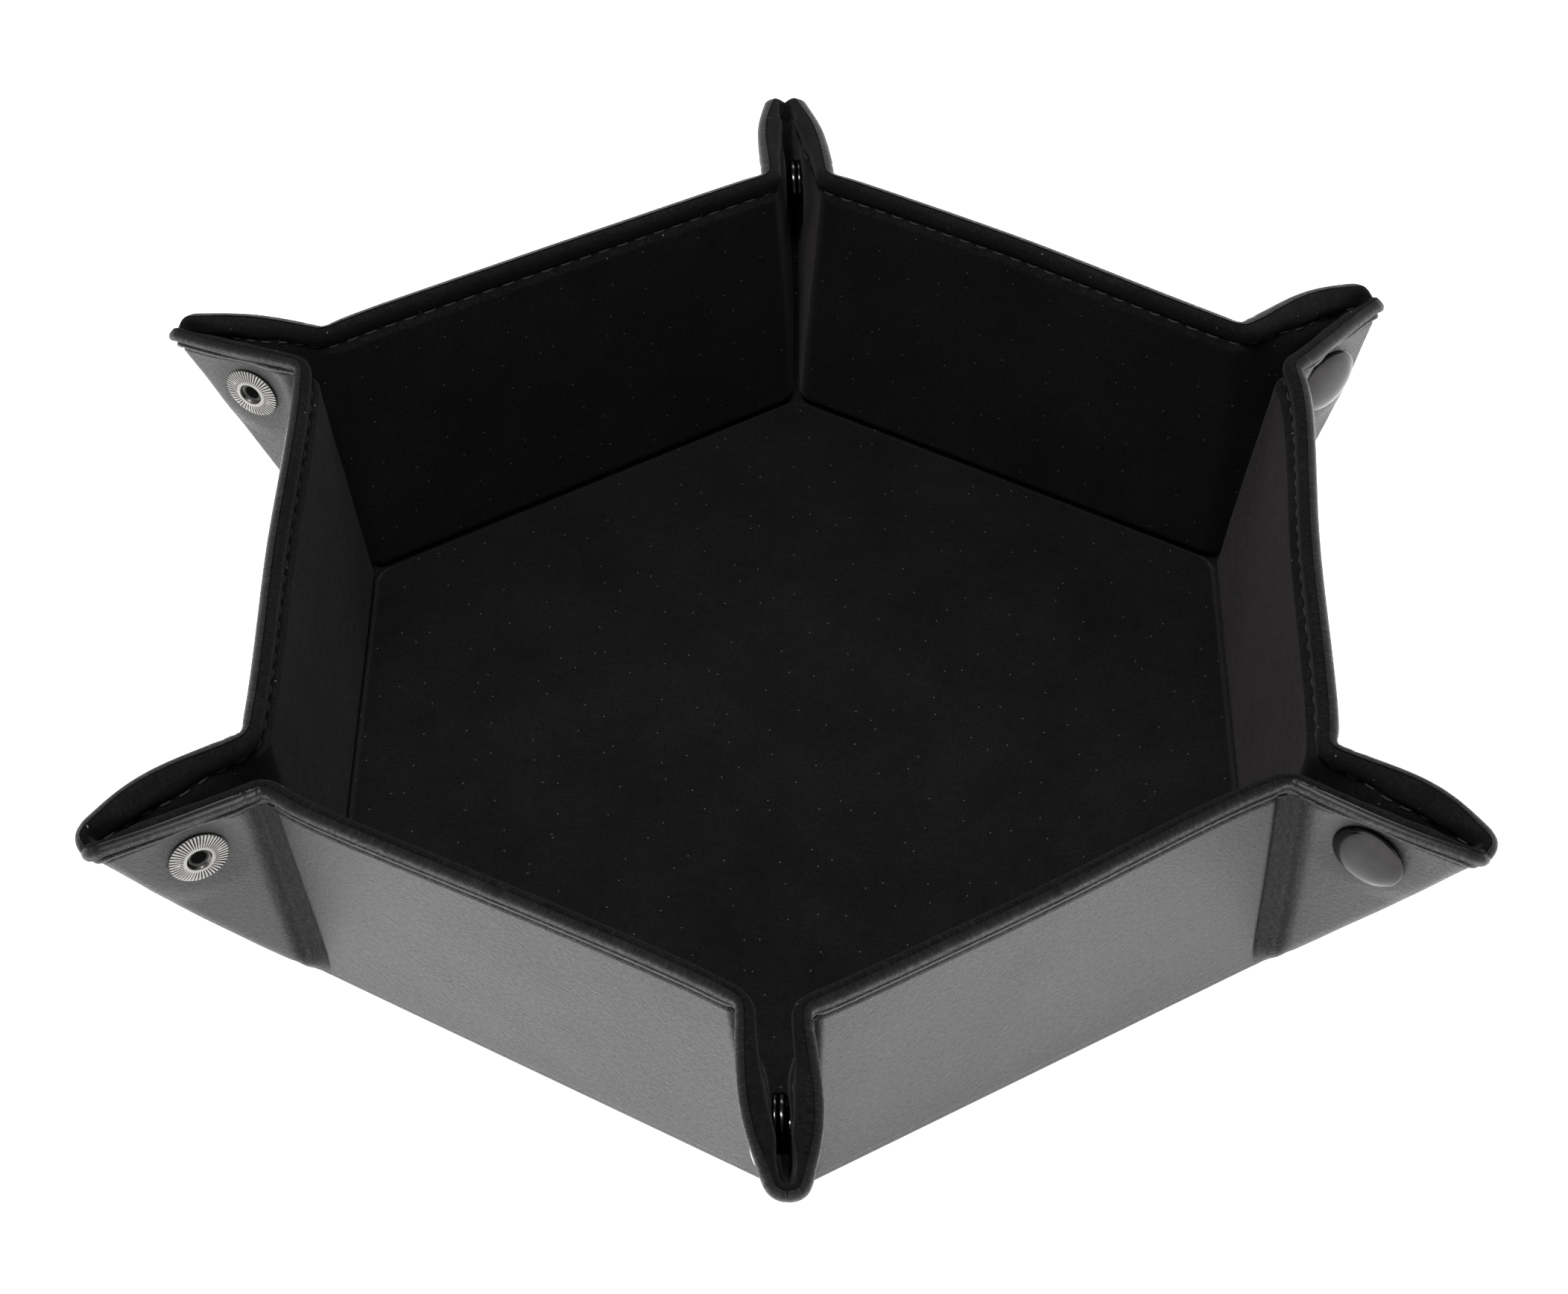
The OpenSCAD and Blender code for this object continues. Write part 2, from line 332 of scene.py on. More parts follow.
# ---- The relief on the two faces ----
# Drops below the rim: the rolled edge, the narrow ridge under it, and the seam
BEAD_DROP = 1.2 * MM
RIDGE_DROP = 3.4 * MM
SEAM_DROP = 4.5 * MM
KEEL_ZONE = float(ear_run(WALL_H)) - 13 * MM


def wall_board(s, along, *runs):
    """1 over a wall's board, falling to 0 past its edges: the low, high and side runs are in mm."""
    low_run, high_run, side_run = (run * MM for run in runs)
    low = smooth((s - WALL_BOARD_GAP + low_run) / low_run)
    high = smooth((WALL_H - RIM_SOFT + high_run - s) / high_run)
    side = smooth((-along - SIDE_BOARD_GAP + side_run) / side_run)
    return low * high * side


def ripple(place):
    """Slow unevenness of a soft face, from -1 to 1, the same on each run."""
    x, y = place[..., 0] / MM, place[..., 1] / MM
    slow = np.sin(x / 13.0 + 1.3 * np.sin(y / 17.0)) * np.sin(y / 11.0 - 0.7)
    quick = np.sin(x / 5.1 + y / 7.3) * np.sin(y / 4.3 - x / 9.7 + 2.0)
    return 0.7 * slow + 0.3 * quick


def rolled(d, middle, half, power):
    """A rounded ridge across the rim."""
    return np.clip(1 - ((d - middle) / half) ** 2, 0.0, None) ** power


def dent(x, middle, width):
    """A smooth hollow, 1 deep at its middle; its place and width are in mm."""
    return np.exp(-(((x - middle * MM) / (width * MM)) ** 2))


def fold_strip(along):
    """Depth of the soft strip between a wall's panel and the ear's: two valleys beside a ridge."""
    wall_side = dent(along, -2.3, 0.75)
    ear_side = 0.8 * dent(along, 3.6, 1.5)
    between = 0.35 * rising(along, -3.2, 1) * falling(along, 5.5, 3)
    return np.maximum(np.maximum(wall_side, ear_side), between)


def leather_relief(s, along, d, spread):
    """Height of the leather's outer face over its plain thickness, d below the rim."""
    near_fold = dent(along, 0.2, 3.0)
    bead = 1.05 * MM * rolled(d, BEAD_DROP, 1.2 * MM, 0.9) * (1 - 0.45 * near_fold)
    ridge = 0.62 * MM * rolled(d, RIDGE_DROP, 0.72 * MM, 0.8) * (1 - near_fold)
    groove = 0.4 * MM * dent(d, 2.55, 0.3) * (1 - near_fold)
    seam = 0.34 * MM * dent(d - SEAM_DROP, 0, 0.36) * (1 - 0.6 * near_fold)
    up = rising(s, 2, 9)
    wander = 0.5 + 0.5 * np.sin(s / (7 * MM) + 3 * np.sin(s / (19 * MM)))
    strip = 0.75 * MM * fold_strip(along) * up * rising(d, 2.5, 3)
    pull = 0.2 * MM * dent(along, 5.2, 0.8) * up * wander
    run = 0.45 * MM * np.sin(s / (2.3 * MM) + 2 * np.sin(s / (6.1 * MM)))
    lines = np.sin((along + run) / (0.24 * MM)) + 0.8 * np.sin(s / (0.75 * MM) + along / (0.4 * MM))
    pucker = 0.06 * MM * lines * dent(along, 0.6, 2.4) * up
    board = 0.42 * MM * wall_board(s, along, 1.0, 1.0, 1.0)
    slow = 0.15 * MM * ripple(spread) * rising(s, 4, 10) * rising(d, 5, 6)
    return bead + ridge - groove - seam - strip - pull + pucker + board + slow


def velvet_relief(s, along, d, spread):
    """Height of the velvet's face over its plain thickness, d below the rim."""
    board = BOARD_T * wall_board(s, along, 2.7, 1.7, 4.6)
    seam = 0.3 * MM * dent(d - SEAM_DROP, 0, 0.7)
    roll = 0.95 * MM * rolled(d, 1.75 * MM, 2.1 * MM, 0.8) * (1 - smooth((along - KEEL_ZONE) / (8 * MM)))
    slow = 0.16 * MM * ripple(spread[..., ::-1] * 1.1) * rising(s, 2, 8)
    return board + roll - seam + slow * rising(d, 5, 6)


# ---- The made tray: open mouths, and a rim a few millimetres off the drawing ----
RIM_POINT = to_corner(stood(WALL_H, hinge_t(WALL_H)))
RIM_Z = RIM_POINT[2]


def opened(points, bulge):
    """Points beside wall 1's first corner, with the ear's mouth standing open at its rim."""
    place = to_corner(points)
    share = np.clip((place[..., 0] - RIM_POINT[0]) / (TIP[0] - 2 * MM - RIM_POINT[0]), 0, 1)
    up = smooth((place[..., 2] - SNAP_Z - 6 * MM) / (RIM_Z - SNAP_Z - 6 * MM))
    apart = smooth(place[..., 1] / (3.5 * MM))
    q = place[..., 1] + bulge * MM * np.sin(math.pi * share**1.5) * up * apart
    return from_corner(place[..., 0], q, place[..., 2])


def settled_points():
    """The places at the rim where the tray's settling is given, and their moves."""
    places, moves = [], []
    fold = stood(WALL_H, hinge_t(WALL_H))
    middle = stood(WALL_H, 0.0)
    for k, (before, halfway, after) in SETTLED_WALLS.items():
        for point, side, move in ((fold, -1, before), (middle, 1, halfway), (fold, 1, after)):
            places.append(spin(point, k, side)[:2])
            moves.append((*move, 0.0))
    for k, move in SETTLED_TIPS.items():
        angle = (k - 0.5) * TURN
        places.append(TIP[0] * np.array([math.cos(angle), math.sin(angle)]))
        moves.append(move)
    return np.array(places), np.array(moves) * MM


def spin(points, k, side):
    """Points made beside wall 1, moved to wall k; side -1 mirrors them first."""
    a = (k - 1) * TURN
    c, s = math.cos(a), math.sin(a)
    x, y = points[..., 0], side * points[..., 1]
    return np.stack([c * x - s * y, s * x + c * y, points[..., 2]], -1)


SETTLED_AT, SETTLED_BY = settled_points()
SETTLED_MEAN = SETTLED_BY.mean(0)


def nearness(places):
    """A smooth measure of how far each place is from those where the settling is given."""
    away = np.linalg.norm(places[:, None] - SETTLED_AT[None], axis=-1)
    return np.sqrt(away**2 + SETTLED_REACH**2)


SETTLED_SHARES = np.linalg.solve(nearness(SETTLED_AT), SETTLED_BY - SETTLED_MEAN)


def settled(points):
    """Points of the drawn tray, moved to where they are in the made one."""
    flat = points.reshape(-1, 3)
    move = nearness(flat[:, :2]) @ SETTLED_SHARES + SETTLED_MEAN
    lean = np.clip(flat[:, 2:] / RIM_Z, 0, 1.1)
    return (flat + move * lean).reshape(points.shape)


# ---- Meshes ----
def in_scene(name, data):
    """A new object of the given data, in the scene."""
    obj = bpy.data.objects.new(name, data)
    bpy.context.scene.collection.objects.link(obj)
    return obj


def mark_points(mesh, mark, values):
    """Stores a number or a vector at each point, for a material to read."""
    values = values.reshape(len(mesh.vertices), -1)
    vector = values.shape[1] == 3
    layer = mesh.attributes.new(mark, "FLOAT_VECTOR" if vector else "FLOAT", "POINT")
    layer.data.foreach_set("vector" if vector else "value", values.ravel())


def row_values(step, *stops):
    """Values from stop to stop, each stretch in steps of about the given length."""
    values = [stops[0]]
    for (low, high), length in zip(zip(stops, stops[1:]), step):
        count = max(1, round(abs(high - low) / length))
        values += list(low + (high - low) * (np.arange(count) + 1) / count)
    return np.array(values)


def quads_of(index):
    """The quads between neighbours in a grid of point numbers."""
    return np.stack([index[..., :-1, :-1], index[..., :-1, 1:], index[..., 1:, 1:], index[..., 1:, :-1]], -1)


def ringed(index):
    """A grid of point numbers, closed into a ring."""
    return np.concatenate([index, index[..., :1]], -1)


def new_mesh(name, points, faces):
    """A mesh of the given points and faces."""
    mesh = bpy.data.meshes.new(name)
    mesh.from_pydata(np.reshape(points, (-1, 3)).tolist(), [], faces)
    return mesh


def shell(name, outer, inner, mask, marks):
    """A closed thin mesh between two grids of points, over the cells in mask."""
    rows, columns = mask.shape[0] + 1, mask.shape[1] + 1
    count = rows * columns
    top = quads_of(np.arange(count).reshape(rows, columns))[mask]
    bottom = top[:, ::-1] + count
    edges = np.concatenate([top[:, [0, 1]], top[:, [1, 2]], top[:, [2, 3]], top[:, [3, 0]]])
    key = edges[:, 0] * count + edges[:, 1]
    back = edges[:, 1] * count + edges[:, 0]
    rim = edges[~np.isin(key, back)]
    sides = np.stack([rim[:, 1], rim[:, 0], rim[:, 0] + count, rim[:, 1] + count], 1)
    faces = np.concatenate([top, bottom, sides])
    points = np.concatenate([outer.reshape(-1, 3), inner.reshape(-1, 3)])
    used, faces = np.unique(faces, return_inverse=True)
    mesh = new_mesh(name, points[used], faces.reshape(-1, 4).tolist())
    for mark, values in marks.items():
        mark_points(mesh, mark, np.concatenate([values, values]).reshape(2 * count, -1)[used])
    return finished(mesh, name)


def finished(mesh, name, sharp=50):
    """A mesh as an object, with its normals outwards and smooth between sharp edges."""
    work = bmesh.new()
    work.from_mesh(mesh)
    bmesh.ops.remove_doubles(work, verts=work.verts, dist=2e-6)
    bmesh.ops.recalc_face_normals(work, faces=work.faces)
    work.to_mesh(mesh)
    work.free()
    mesh.shade_smooth()
    mesh.set_sharp_from_angle(angle=math.radians(sharp))
    return in_scene(name, mesh)


# ---- The grids that every leather and velvet piece is cut from ----
MIDDLE, WALL_EDGE, HINGE, CREASE = 0.0, 1.0, 2.0, 3.0
EAR_TOP_RUN = float(ear_run(WALL_H) + keel_gap(WALL_H))
RIM_ZONE = 6.6 * MM


def columns():
    near, far = 5 * MM / EAR_TOP_RUN, 1 - 9 * MM / EAR_TOP_RUN
    panel = row_values([0.04], MIDDLE, WALL_EDGE)
    strip = row_values([0.06], WALL_EDGE, HINGE)[1:]
    ear = row_values([0.0085, 0.024, 0.0105], HINGE, HINGE + near, HINGE + far, CREASE)[1:]
    return np.concatenate([panel, strip, ear])


def rows():
    top = WALL_H - 1.3 * MM
    stops = [STRIP_LOW, STRIP_HIGH, WALL_BOARD_GAP, 8 * MM, WALL_H - 9 * MM, WALL_H - RIM_ZONE, top]
    steps = [0.35 * MM, 0.5 * MM, 0.7 * MM, 1.1 * MM, 0.6 * MM, 0.17 * MM]
    turn_over = np.sin(np.arange(1, 9) / 8 * math.pi / 2)
    return np.concatenate([row_values(steps, *stops), top + (WALL_H - top) * turn_over])


def corner_cut(column):
    """How far the sheet's round corner lowers the rim."""
    from_tip = np.clip(CREASE - column, 0, 1) * EAR_TOP_RUN
    inside = np.clip(CORNER_ROUND * math.tan(HALF) - from_tip, 0, None)
    return CORNER_ROUND - np.sqrt(CORNER_ROUND**2 - inside**2)


COLUMNS = columns()
ROWS = rows()
STRIP_ROW = int(np.argmin(abs(ROWS - STRIP_HIGH)))
EDGE_COLUMN = int(np.argmin(abs(COLUMNS - WALL_EDGE)))
PLAIN_S, C = np.meshgrid(ROWS, COLUMNS, indexing="ij")
DROP = np.clip(WALL_H - PLAIN_S, 0, None)
LOWERED = corner_cut(C) * smooth((PLAIN_S - 0.4 * WALL_H) / (0.4 * WALL_H))
S = PLAIN_S - LOWERED
ALONG = along_of(S, C)
FLAT = flat_place(S, C)


def lifted(drop, height):
    """Points at a drop below the rim, height above the face on the velvet's side."""
    place, normal = sheet_frame(np.where(DROP < RIM_ZONE, WALL_H - LOWERED - drop, S), C)
    return place + normal * height[..., None]


def turned_over(drop, radius, depth):
    """How far a face falls away as it turns over the rim."""
    short = np.clip(1 - drop / radius, 0, 1)
    return depth * (1 - np.sqrt(1 - short**2))


def inner_drop(clear):
    """Drops for the hidden face of a piece, which ends a little below the rim."""
    return clear + DROP * (1 - clear / RIM_ZONE)


def leather_grids():
    relief = leather_relief(S, ALONG, DROP, FLAT)
    over = turned_over(DROP, 0.85 * MM, LEATHER_T + 0.3 * MM)
    height = np.minimum(-(LEATHER_T + relief - over), -0.06 * MM)
    return lifted(DROP, height), lifted(inner_drop(0.3 * MM), 0 * S - HAIR)


def velvet_grids():
    over = turned_over(DROP, 1.1 * MM, VELVET_T - 0.1 * MM)
    height = VELVET_T + velvet_relief(S, ALONG, DROP, FLAT) - over
    under = HAIR + (BOARD_T + HAIR) * wall_board(S, ALONG, 2.7, 1.7, 4.6)
    return lifted(inner_drop(0.15 * MM), height), lifted(inner_drop(0.35 * MM), under)


def board_grids():
    return lifted(DROP, 0 * S + BOARD_T - HAIR), lifted(DROP, 0 * S + 0.05 * MM)


def sheet_marks(k, side, thickness):
    """Where each point lies on the flat sheet and beside its fold, with painted shade in its creases, its grooves
    and beside the bead, and a painted highlight along the bead's crown and the ridge.
    """
    place = spin(np.concatenate([FLAT, 0 * FLAT[..., :1] + thickness], -1), k, side)
    beside = np.stack([ALONG, S, 0 * S + 0.1 * k + 0.03 * side], -1)
    # Painted shade in the soft strip by the ear's fold: darker in its two valleys and in the band between them
    between = 0.8 * rising(ALONG, -3.2, 0.7) * falling(ALONG, 6.5, 5)
    valleys = np.maximum(dent(ALONG, -2.4, 0.8), 0.9 * dent(ALONG, 3.6, 1.6))
    dark = np.maximum(between, valleys)
    crease = dark * rising(S, 1, 8) * rising(DROP, 2, 4)
    # Painted shade in the groove under the bead and along the seam, and on the bead's sides, which leaves a thin
    # lit line on its crown
    groove_shade = 0.9 * dent(DROP, 2.5, 0.42) + 0.8 * dent(DROP - SEAM_DROP, 0, 0.36)
    bead_side_shade = falling(DROP, 2.4, 0.5) * (1 - dent(DROP, 0.8, 0.42))
    crease = np.maximum(crease, np.maximum(groove_shade, 0.8 * bead_side_shade))
    # Painted highlight: a pale line along the bead's crown and a fainter one along the ridge
    rim_highlight = dent(DROP, 0.8, 0.4) + 0.5 * dent(DROP - RIDGE_DROP, 0, 0.5)
    return {"sheet_place": place, "fold_place": beside, "crease": crease, "rim_highlight": rim_highlight}


# ---- The leather and velvet pieces ----
WALL_MASK = np.zeros((len(ROWS) - 1, len(COLUMNS) - 1), bool)
WALL_MASK[:STRIP_ROW, :] = True
WALL_MASK[:, :EDGE_COLUMN] = True
EAR_MASK = ~WALL_MASK
MID_S, MID_ALONG = (S[:-1, :-1] + S[1:, 1:]) / 2, (ALONG[:-1, :-1] + ALONG[1:, 1:]) / 2
BOARD_MASK = (MID_S > WALL_BOARD_GAP) & (MID_S < WALL_H - RIM_SOFT) & (MID_ALONG < -SIDE_BOARD_GAP)
MIRROR = np.array([1.0, -1.0, 1.0])


def both_halves(values, other, flip=1.0):
    """The grid from crease to crease across a wall, from its two halves."""
    return np.concatenate([other[:, :0:-1] * flip, values], 1)


def wall_bulges(k):
    """How far the ears' layers beside wall k open: at the corner after it, and at the one before."""
    return BULGES[k][0], BULGES[(k - 2) % WALLS + 1][1]


def wall_shell(name, grids, k, half_mask, thickness):
    """A piece that spans wall k, over the cells in half_mask and their mirror image."""
    after, before = wall_bulges(k)
    outer, inner = (
        settled(spin(both_halves(opened(g, after), opened(g, before), MIRROR), k, 1)) for g in grids)
    right, left = sheet_marks(k, 1, thickness), sheet_marks(k, -1, thickness)
    marks = {mark: both_halves(right[mark], left[mark]) for mark in right}
    mask = np.concatenate([half_mask[:, ::-1], half_mask], 1)
    return shell(name, outer, inner, mask, marks)


def wall_piece(name, grids, k, thickness, body_start, body_end):
    piece = wall_shell(name, grids, k, WALL_MASK, thickness)
    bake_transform(piece)
    return piece


def beside(k, side):
    """The wall that a layer of ear k hangs on: side 1 is the cap's layer and -1 the post's."""
    return k if side > 0 else k % WALLS + 1


def in_ear(points, k, side):
    """Points made beside wall 1's first corner, moved to a layer of ear k in the made tray."""
    bulge = BULGES[k][0 if side > 0 else 1]
    return settled(spin(opened(points, bulge), beside(k, side), side))


def ear_piece(name, grids, k, side):
    outer, inner = (in_ear(g, k, side) for g in grids)
    piece = shell(name, outer, inner, EAR_MASK, sheet_marks(beside(k, side), side, 0.0))
    blend_ear(piece)
    return piece


def side_name(side):
    return "cap" if side > 0 else "post"


def blend_ear(piece):
    """Bakes a piece's place into its mesh; the direction across an ear's fold is worked out but not used, and
    nothing is bent.
    """
    across = np.array([0.0, 1.0, 0.0])
    across = unit(across - (across @ ear_axis) * ear_axis)
    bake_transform(piece)


def base_ring():
    """The edge of the base, where it meets the walls' strips."""
    edge = sheet_place(np.full(len(COLUMNS), STRIP_LOW), COLUMNS)
    side = np.concatenate([edge[:0:-1] * MIRROR, edge])
    return np.concatenate([spin(side, k, 1)[:-1] for k in range(1, WALLS + 1)])


def base_lattice(reach):
    """Evenly spaced points inside a hexagon of the given apothem."""
    step = 3.2 * MM
    count = int(reach / step) + 4
    i, j = np.meshgrid(np.arange(-2 * count, 2 * count), np.arange(-count, count))
    points = np.stack([(i + 0.5 * (j % 2)) * step, j * step * math.sin(TURN)], -1).reshape(-1, 2)
    return points[hexagon_apothem(points) < reach]


def base_face(flat_ring, reach):
    """Triangles over the base: rows that follow its edge, and an even lattice within them."""
    steps = [0.35 * MM, 0.6 * MM, 1.2 * MM]
    apothems = row_values(steps, reach, BASE_BOARD - 1.5 * MM, BASE_BOARD - 4 * MM, BASE_BOARD - 9 * MM)
    band = flat_ring[None] * (apothems / reach)[:, None, None]
    around, deep = len(flat_ring), len(apothems)
    index = np.arange(around * deep).reshape(deep, around)
    quads = quads_of(ringed(index)).reshape(-1, 4).tolist()
    loop = [Vector(point) for point in band[-1].tolist()]
    dots = [Vector(point) for point in base_lattice(apothems[-1] - 2 * MM).tolist()]
    points, _, triangles, _, _, _ = delaunay_2d_cdt(loop + dots, [], [list(range(around))], 1, 1e-9)
    start = around * (deep - 1)
    faces = quads + [[start + i for i in triangle] for triangle in triangles]
    inner = np.array([tuple(point) for point in points])
    level = np.repeat(apothems[:-1], around)
    places = np.concatenate([band[:-1].reshape(-1, 2), inner])
    return places, faces, np.concatenate([level, hexagon_apothem(inner)])


def base_piece(name, bottom, top_of):
    """A hexagon that meets the walls' strips, between a bottom height and a top height."""
    reach = APOTHEM + STRIP_LOW
    ring = base_ring()[:, :2]
    flat, faces, apothem = base_face(ring, reach)
    place = np.concatenate([flat, 0 * flat[:, :1]], 1)
    high, low = place.copy(), place.copy()
    high[:, 2], low[:, 2] = top_of(apothem, place), bottom(apothem, place)
    count, around = len(place), len(ring)
    back = [[i + count for i in face[::-1]] for face in faces]
    rim = [[i, i + count, (i + 1) % around + count, (i + 1) % around] for i in range(around)]
    mesh = new_mesh(name, np.concatenate([high, low]), faces + back + rim)
    for mark in ("sheet_place", "fold_place"):
        mark_points(mesh, mark, np.concatenate([place, place]))
    for mark in ("crease", "rim_highlight"):
        mark_points(mesh, mark, np.zeros(2 * count))
    piece = finished(mesh, name)
    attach(piece, "base")
    return piece


def hexagon_apothem(flat):
    """The apothem of the hexagon round the centre that each point lies on."""
    reach = 0 * flat[:, 0]
    for k in range(WALLS):
        reach = np.maximum(reach, flat @ np.array([math.cos(k * TURN), math.sin(k * TURN)]))
    return reach


def over_base_board(apothem):
    """1 over the base's board, falling to 0 past its edge."""
    return smooth((BASE_BOARD + BASE_FALL - apothem) / BASE_FALL)


def base_velvet_top(apothem, place):
    slow = 0.12 * MM * ripple(place) * smooth((BASE_BOARD - apothem) / (8 * MM))
    return LEATHER_T + VELVET_T + BOARD_T * over_base_board(apothem) + slow


def base_velvet_bottom(apothem, place):
    return LEATHER_T + HAIR + (BOARD_T + HAIR) * over_base_board(apothem)


def plain_height(height):
    """A level face of the base."""
    return lambda apothem, place: height + 0 * apothem


# ---- Materials ----
def node(tree, kind, inputs=None, **settings):
    """A shader node: settings are its properties, and inputs are constants or sockets."""
    made = tree.nodes.new(kind)
    for name, value in settings.items():
        setattr(made, name, value)
    for name, value in (inputs or {}).items():
        if isinstance(value, bpy.types.NodeSocket):
            tree.links.new(value, made.inputs[name])
        else:
            made.inputs[name].default_value = value
    return made


def new_material(name, **values):
    """A material with the given values on its shader's own sockets."""
    material = bpy.data.materials.new(name)
    material.use_nodes = True
    shader = material.node_tree.nodes["Principled BSDF"]
    for socket, value in values.items():
        shader.inputs[socket.replace("_", " ")].default_value = value
    return material, material.node_tree


def wired(material, **sockets):
    """The material, with what varies over the surface linked to its shader's sockets."""
    tree = material.node_tree
    shader = tree.nodes["Principled BSDF"]
    for socket, value in sockets.items():
        tree.links.new(value, shader.inputs[socket.replace("_", " ")])
    return material


def attribute(tree, name, output="Vector"):
    return node(tree, "ShaderNodeAttribute", attribute_name=name).outputs[output]


def noise(tree, vector, scale, detail=2.0, roughness=0.5):
    inputs = {"Vector": vector, "Scale": scale, "Detail": detail, "Roughness": roughness}
    return node(tree, "ShaderNodeTexNoise", inputs).outputs["Fac"]


def maths(tree, operation, a, b=0.0):
    return node(tree, "ShaderNodeMath", {0: a, 1: b}, operation=operation).outputs[0]


def times(tree, a, b):
    """Two colours multiplied."""
    return node(tree, "ShaderNodeVectorMath", {0: a, 1: b}, operation="MULTIPLY").outputs[0]


def ramp(tree, factor, *stops):
    """A colour ramp; each stop is a place and a grey, or a place and a colour."""
    made = node(tree, "ShaderNodeValToRGB", {"Fac": factor})
    band = made.color_ramp
    for element, (place, colour) in zip([band.elements[0], band.elements[1]], stops[:2]):
        element.position = place
        element.color = shade(colour)
    for place, colour in stops[2:]:
        band.elements.new(place).color = shade(colour)
    return made.outputs["Color"]


def shade(colour):
    return (colour,) * 3 + (1.0,) if isinstance(colour, float) else (*colour, 1.0)


def mix_colour(tree, factor, a, b):
    return node(tree, "ShaderNodeMix", {0: factor, 6: a, 7: b}, data_type="RGBA").outputs[2]


def bump(tree, height, strength, distance, below=None):
    inputs = {"Height": height, "Strength": strength, "Distance": distance}
    if below:
        inputs["Normal"] = below
    return node(tree, "ShaderNodeBump", inputs).outputs["Normal"]


def leather_material():
    """Black leather: fine grain, crumples in its folds, painted shade in its folds, grooves and beside the bead,
    and a painted highlight line along its rim.
    """
    material, tree = new_material("leather_black", Coat_Weight=0.08, Coat_Roughness=0.22)
    place = attribute(tree, "sheet_place")
    beside_fold = attribute(tree, "fold_place")
    crease = attribute(tree, "crease", "Fac")
    rim_highlight = attribute(tree, "rim_highlight", "Fac")
    cells = node(tree, "ShaderNodeTexVoronoi", {"Vector": place, "Scale": 1500.0},
                 feature="SMOOTH_F1").outputs["Distance"]
    fine = noise(tree, place, 4200.0, 3.0, 0.6)
    pebble = noise(tree, place, 900.0, 3.0, 0.55)
    broad = noise(tree, place, 38.0, 4.0, 0.6)
    tone = ramp(tree, broad, (0.3, (0.010, 0.010, 0.0105)), (0.7, (0.020, 0.0197, 0.020)))
    tone = times(tree, tone, ramp(tree, fine, (0.4, 0.55), (0.68, 1.4)))
    stretched = node(tree, "ShaderNodeMapping", {"Vector": beside_fold, "Scale": (1.0, 0.34, 1.0)})
    crumple = noise(tree, stretched.outputs["Vector"], 780.0, 6.0, 0.7)
    folded = maths(tree, "ABSOLUTE", maths(tree, "SUBTRACT", crumple, 0.5))
    # Painted shade: the leather darkens towards near black in its creases, grooves and beside the bead, broken up
    # by the crumples
    shaded = maths(tree, "MULTIPLY", crease, ramp(tree, folded, (0.0, 1.0), (0.14, 0.55)))
    tone = mix_colour(tree, shaded, tone, (0.003, 0.003, 0.0035, 1.0))
    # Painted highlight: a paler line along the bead's crown and the ridge, speckled by the pebbled grain
    painted_highlight = maths(tree, "MULTIPLY", rim_highlight, ramp(tree, pebble, (0.42, 0.12), (0.7, 0.42)))
    tone = mix_colour(tree, painted_highlight, tone, (0.15, 0.15, 0.15, 1.0))
    grains = noise(tree, place, 2100.0, 4.0, 0.72)
    gloss = ramp(tree, grains, (0.34, 0.24), (0.66, 0.62))
    # The painted shade also takes away the gloss there
    lit = maths(tree, "SUBTRACT", 1.0, maths(tree, "MULTIPLY", shaded, 0.86))
    gloss = maths(tree, "MULTIPLY", gloss, lit)
    rough = ramp(tree, pebble, (0.3, 0.33), (0.7, 0.45))
    rough = maths(tree, "ADD", rough, maths(tree, "MULTIPLY", crease, 0.1))
    rough = maths(tree, "SUBTRACT", rough, maths(tree, "MULTIPLY", rim_highlight, 0.18))
    grain = maths(tree, "ADD", maths(tree, "MULTIPLY", cells, 0.8), maths(tree, "MULTIPLY", fine, 0.5))
    grain = maths(tree, "ADD", grain, maths(tree, "MULTIPLY", grains, 0.8))
    normal = bump(tree, grain, 0.62, 0.0003)
    lines = maths(tree, "MULTIPLY", maths(tree, "MULTIPLY", folded, crease), 4.0)
    normal = bump(tree, lines, 1.0, 0.0012, normal)
    return wired(material, Base_Color=tone, Specular_IOR_Level=gloss, Roughness=rough, Normal=normal)


def velvet_material():
    """Black velvet: a short pile brushed unevenly, with a little lint on it."""
    material, tree = new_material(
        "velvet_black", Specular_IOR_Level=0.1, Sheen_Weight=0.055, Sheen_Roughness=0.4,
        Sheen_Tint=(0.78, 0.70, 0.70, 1.0))
    place = attribute(tree, "sheet_place")
    broad = noise(tree, place, 42.0, 5.0, 0.66)
    pile = noise(tree, place, 5200.0, 2.0, 0.6)
    brushed = noise(tree, place, 420.0, 3.0, 0.6)
    tone = ramp(tree, broad, (0.34, (0.0018, 0.0016, 0.0017)), (0.68, (0.0042, 0.0038, 0.0039)))
    tone = times(tree, tone, ramp(tree, pile, (0.38, 0.3), (0.68, 2.2)))
    fibres = ramp(tree, noise(tree, place, 1600.0, 4.0, 0.75), (0.36, 0.4), (0.64, 1.75))
    tone = times(tree, tone, fibres)
    dust = node(tree, "ShaderNodeTexVoronoi", {"Vector": place, "Scale": 120.0},
                feature="F1", voronoi_dimensions="2D").outputs["Distance"]
    tone = mix_colour(tree, ramp(tree, dust, (0.008, 0.8), (0.016, 0.0)), tone, (0.22, 0.22, 0.21, 1.0))
    rough = ramp(tree, brushed, (0.3, 0.86), (0.7, 1.0))
    normal = bump(tree, pile, 0.7, 0.00025, bump(tree, brushed, 0.35, 0.0006))
    return wired(material, Base_Color=tone, Roughness=rough, Normal=normal)


